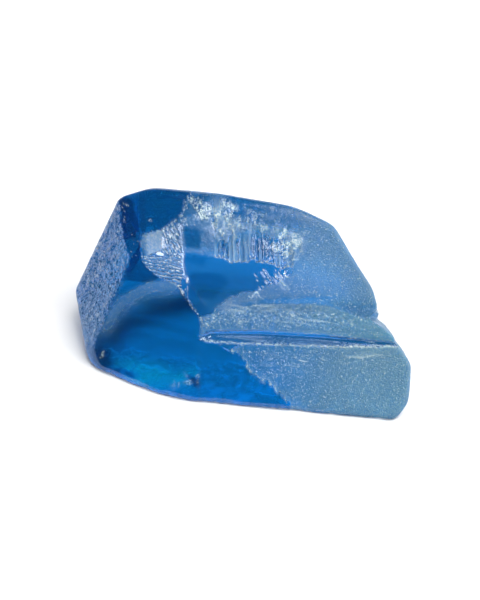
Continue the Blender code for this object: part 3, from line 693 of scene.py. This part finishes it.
def topaz():
    """Natural topaz, etched and cleaved: a clear blue body whose colour comes from depth and from a blue on
    its surface that holds painted shade and painted light, glassy on its growth faces and frosted where acid
    or a break has roughened it."""
    material = bpy.data.materials.new("natural blue topaz, etched and cleaved")
    material.use_nodes = True
    tree = material.node_tree
    tree.nodes.clear()
    place = add(tree, "ShaderNodeTexCoord").outputs["Object"]
    read = {name: add(tree, "ShaderNodeAttribute", {"attribute_name": name}).outputs["Fac"]
            for name in FINISHES}
    frost, white = read["frost"], read["white"]

    # Grain of the frosting, the size of real etch marks here.
    grain = add(tree, "ShaderNodeTexNoise", {"Scale": 1 / (GRAIN * MM), "Detail": 3.0},
                {"Vector": place}).outputs["Fac"]
    # Crumbs: pale broken grains where the crystal broke.
    crumb = add(tree, "ShaderNodeTexNoise", {"Scale": 1 / (CRUMB * MM), "Detail": 4.0, "Roughness": 0.65},
                {"Vector": place}).outputs["Fac"]
    crumbs = add(tree, "ShaderNodeMapRange", {"From Min": 0.56, "From Max": 0.68}, {"Value": crumb})
    crumbs = add(tree, "ShaderNodeMath", {"operation": "MULTIPLY"},
                 {0: crumbs.outputs[0], 1: read["crumbled"]})
    # Broken facets: flat glassy faces, each tilted its own way, so that some catch a light.
    cells = add(tree, "ShaderNodeTexVoronoi", {"Scale": 1 / (BROKEN_FACET * MM)},
                {"Vector": place}).outputs["Color"]
    tilt = add(tree, "ShaderNodeVectorMath", {"operation": "SUBTRACT"}, {0: cells})
    tilt.inputs[1].default_value = (0.5, 0.5, 0.5)
    much = add(tree, "ShaderNodeMath", {"operation": "MULTIPLY", 1: 0.9}, {0: read["crumbled"]})
    tilt = add(tree, "ShaderNodeVectorMath", {"operation": "SCALE"},
               {0: tilt.outputs[0], "Scale": much.outputs[0]})
    straight = add(tree, "ShaderNodeNewGeometry").outputs["Normal"]
    tilted = add(tree, "ShaderNodeVectorMath", {"operation": "ADD"}, {0: straight, 1: tilt.outputs[0]})
    tilted = add(tree, "ShaderNodeVectorMath", {"operation": "NORMALIZE"}, {0: tilted.outputs[0]})
    # Specks: pale grains, strewn unevenly over all that is frosted.
    strewn = add(tree, "ShaderNodeTexNoise", {"Scale": 1 / (SPECK * MM), "Detail": 4.0, "Roughness": 0.7},
                 {"Vector": place}).outputs["Fac"]
    speck = add(tree, "ShaderNodeMapRange", {"From Min": 0.56, "From Max": 0.7, "To Max": 0.75},
                {"Value": strewn})
    frosted = add(tree, "ShaderNodeMapRange", {"From Min": 0.15, "From Max": 0.4}, {"Value": frost})
    pit = add(tree, "ShaderNodeMath", {"operation": "MULTIPLY"},
              {0: speck.outputs[0], 1: frosted.outputs[0]})
    # Combed streaks: fine scratches drawn out along the crystal.
    drawn = add(tree, "ShaderNodeMapping", {"Scale": (0.09, 1.0, 1.0), "Rotation": (0.0, 0.0, -0.1)},
                {"Vector": place}).outputs["Vector"]
    streak = add(tree, "ShaderNodeTexNoise", {"Scale": 1 / (STREAK * MM), "Detail": 3.0},
                 {"Vector": drawn}).outputs["Fac"]
    streaks = add(tree, "ShaderNodeMapRange", {"From Min": 0.53, "From Max": 0.62, "To Max": 0.6},
                  {"Value": streak})
    streaks = add(tree, "ShaderNodeMath", {"operation": "MULTIPLY"},
                  {0: streaks.outputs[0], 1: read["combed"]})

    # The white of broken edges, and of the painted highlights and glints, comes in grains, and crumbs and
    # streaks add to it.
    grainy = add(tree, "ShaderNodeMapRange", {"From Min": 0.42, "From Max": 0.6, "To Min": 0.1},
                 {"Value": grain})
    shine = add(tree, "ShaderNodeMath", {"operation": "MULTIPLY"}, {0: white, 1: grainy.outputs[0]})
    for more in (crumbs, streaks):
        shine = add(tree, "ShaderNodeMath", {"operation": "MAXIMUM"},
                    {0: shine.outputs[0], 1: more.outputs[0]})
    rough = add(tree, "ShaderNodeMapRange", {"To Min": 0.03, "To Max": 0.8}, {"Value": frost})
    # The blue: bright cyan at 0, painted light, and dark navy at 1, painted shade, with the plain blue
    # between.
    blue = add(tree, "ShaderNodeValToRGB", {}, {"Fac": read["deep"]})
    blue.color_ramp.elements[0].color = linear("#00D0FF")
    blue.color_ramp.elements[1].color = linear("#00507F")
    blue.color_ramp.elements.new(0.5).color = linear("#0195E2")
    cloud = add(tree, "ShaderNodeMix", {"data_type": "RGBA"})
    tree.links.new(blue.outputs[0], cloud.inputs[6])
    cloud.inputs[7].default_value = linear("#66CCEA")
    mottle = add(tree, "ShaderNodeMapRange",
                 {"From Min": 0.38, "From Max": 0.62, "To Min": 0.65, "To Max": 1.2}, {"Value": grain})
    mottle = add(tree, "ShaderNodeMath", {"operation": "MULTIPLY"}, {0: mottle.outputs[0], 1: frost})
    tree.links.new(mottle.outputs[0], cloud.inputs[0])
    relief = add(tree, "ShaderNodeMath", {"operation": "MULTIPLY"}, {0: grain, 1: frost})
    for more in (streaks, pit):
        relief = add(tree, "ShaderNodeMath", {"operation": "ADD"},
                     {0: relief.outputs[0], 1: more.outputs[0]})
    bump = add(tree, "ShaderNodeBump", {"Distance": 0.0001, "Strength": 0.6},
               {"Height": relief.outputs[0], "Normal": tilted.outputs[0]})
    clear = add(tree, "ShaderNodeBsdfPrincipled", {
        "Transmission Weight": CLEARNESS, "IOR": TOPAZ_IOR,
    }, {"Base Color": cloud.outputs[2], "Roughness": rough.outputs[0], "Normal": bump.outputs[0]})
    # Crushed grains scatter light before it gets into the crystal, so they look white; the same white also
    # paints highlights and glints.
    crushed = add(tree, "ShaderNodeBsdfPrincipled", {
        "Base Color": linear("#E6FBF6"), "Roughness": 0.25, "IOR": TOPAZ_IOR,
    }, {"Normal": bump.outputs[0]})
    covered = add(tree, "ShaderNodeMath", {"operation": "MAXIMUM"}, {0: shine.outputs[0], 1: pit.outputs[0]})
    covered = add(tree, "ShaderNodeMath", {"operation": "MULTIPLY", 1: 0.85}, {0: covered.outputs[0]})
    shader = add(tree, "ShaderNodeMixShader", {},
                 {0: covered.outputs[0], 1: clear.outputs[0], 2: crushed.outputs[0]})
    depth = add(tree, "ShaderNodeVolumeAbsorption", {"Color": linear("#71E7F7"), "Density": ABSORPTION})
    out = add(tree, "ShaderNodeOutputMaterial")
    tree.links.new(shader.outputs[0], out.inputs["Surface"])
    tree.links.new(depth.outputs[0], out.inputs["Volume"])
    return material


def make_crystal():
    """The crystal's own object, in place of the plain solid."""
    low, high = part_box(NODE)
    points, faces, finish = crystal_mesh()
    mesh = bpy.data.meshes.new("topaz_surface")
    mesh.from_pydata(fit_to_box(points, low, high).tolist(), [], faces)
    for name, values in zip(FINISHES, finish):
        mesh.attributes.new(name, "FLOAT", "POINT").data.foreach_set("value", values.astype(np.float32))
    mesh.shade_smooth()
    mesh.materials.append(topaz())
    crystal = bpy.data.objects.new("topaz_surface", mesh)
    bpy.context.scene.collection.objects.link(crystal)
    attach(crystal, "root")
    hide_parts(NODE)


def make_floor():
    """A plain pale floor, a hair below the crystal's base."""
    material = bpy.data.materials.new("matt white card")
    material.use_nodes = True
    shader = material.node_tree.nodes["Principled BSDF"]
    shader.inputs["Base Color"].default_value = linear("#F4F4F4")
    shader.inputs["Roughness"].default_value = 0.8
    half, drop = 1.0, -0.00005
    corners = [(-half, -half, drop), (half, -half, drop), (half, half, drop), (-half, half, drop)]
    mesh = bpy.data.meshes.new("floor")
    mesh.from_pydata(corners, [], [(0, 1, 2, 3)])
    mesh.materials.append(material)
    floor = bpy.data.objects.new("floor", mesh)
    bpy.context.scene.collection.objects.link(floor)


# The soft studio light: a dim room with wide soft panels. Each: azimuth, elevation, full and fading
# radius in degrees, brightness.
ROOM = 0.03
PANELS = [(180.0, 15.0, 12.0, 42.0, 1.9), (180.0, 45.0, 10.0, 32.0, 0.5), (65.0, 4.0, 14.0, 36.0, 6.6),
          (140.0, 10.0, 10.0, 30.0, 3.0), (95.0, 55.0, 6.0, 14.0, 9.0), (60.0, 72.0, 6.0, 17.0, 9.0),
          (-40.0, 47.0, 5.0, 9.0, 16.0), (4.0, 67.0, 3.0, 8.0, 7.0)]


def make_light():
    """A room that lights the crystal from every side, brighter where a soft panel hangs."""
    world = bpy.data.worlds.new("studio")
    bpy.context.scene.world = world
    world.use_nodes = True
    tree = world.node_tree
    tree.nodes.clear()
    facing = add(tree, "ShaderNodeTexCoord").outputs["Generated"]
    total = None
    for azimuth, elevation, full, fade, brightness in PANELS:
        towards = add(tree, "ShaderNodeVectorMath", {"operation": "DOT_PRODUCT"}, {0: facing})
        towards.inputs[1].default_value = direction(azimuth, elevation)
        panel = add(tree, "ShaderNodeMapRange", {
            "interpolation_type": "SMOOTHSTEP", "From Min": math.cos(math.radians(fade)),
            "From Max": math.cos(math.radians(full)), "To Min": 0.0, "To Max": brightness,
        }, {"Value": towards.outputs["Value"]})
        links = {0: panel.outputs[0]}
        if total is None:
            total = add(tree, "ShaderNodeMath", {"operation": "ADD", 1: ROOM}, links)
        else:
            total = add(tree, "ShaderNodeMath", {"operation": "ADD"}, {**links, 1: total.outputs[0]})
    back = add(tree, "ShaderNodeBackground", {"Color": linear("#FFFFFF")}, {"Strength": total.outputs[0]})
    out = add(tree, "ShaderNodeOutputWorld")
    tree.links.new(back.outputs[0], out.inputs["Surface"])
    bpy.context.scene.view_settings.view_transform = "Standard"


def make_camera():
    """The photograph's camera."""
    data = bpy.data.cameras.new("camera")
    data.lens = LENS
    data.sensor_width = SENSOR
    camera = bpy.data.objects.new("camera", data)
    bpy.context.scene.collection.objects.link(camera)
    camera.location = Vector((CORE + BACK * DISTANCE - RIGHT * SHIFT_LEFT + UP * SHIFT_UP) * MM)
    camera.rotation_mode = "QUATERNION"
    camera.rotation_quaternion = Vector(-BACK).to_track_quat("-Z", "Y")
    data.clip_start, data.clip_end = 0.01, 10.0
    bpy.context.scene.camera = camera


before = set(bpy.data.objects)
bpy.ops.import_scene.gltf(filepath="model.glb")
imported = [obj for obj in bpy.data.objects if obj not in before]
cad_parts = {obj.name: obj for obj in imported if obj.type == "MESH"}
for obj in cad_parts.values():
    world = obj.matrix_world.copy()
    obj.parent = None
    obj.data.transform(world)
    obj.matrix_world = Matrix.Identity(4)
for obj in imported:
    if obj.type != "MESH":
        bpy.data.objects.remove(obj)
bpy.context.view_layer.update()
make_crystal()
make_floor()
make_light()
make_camera()
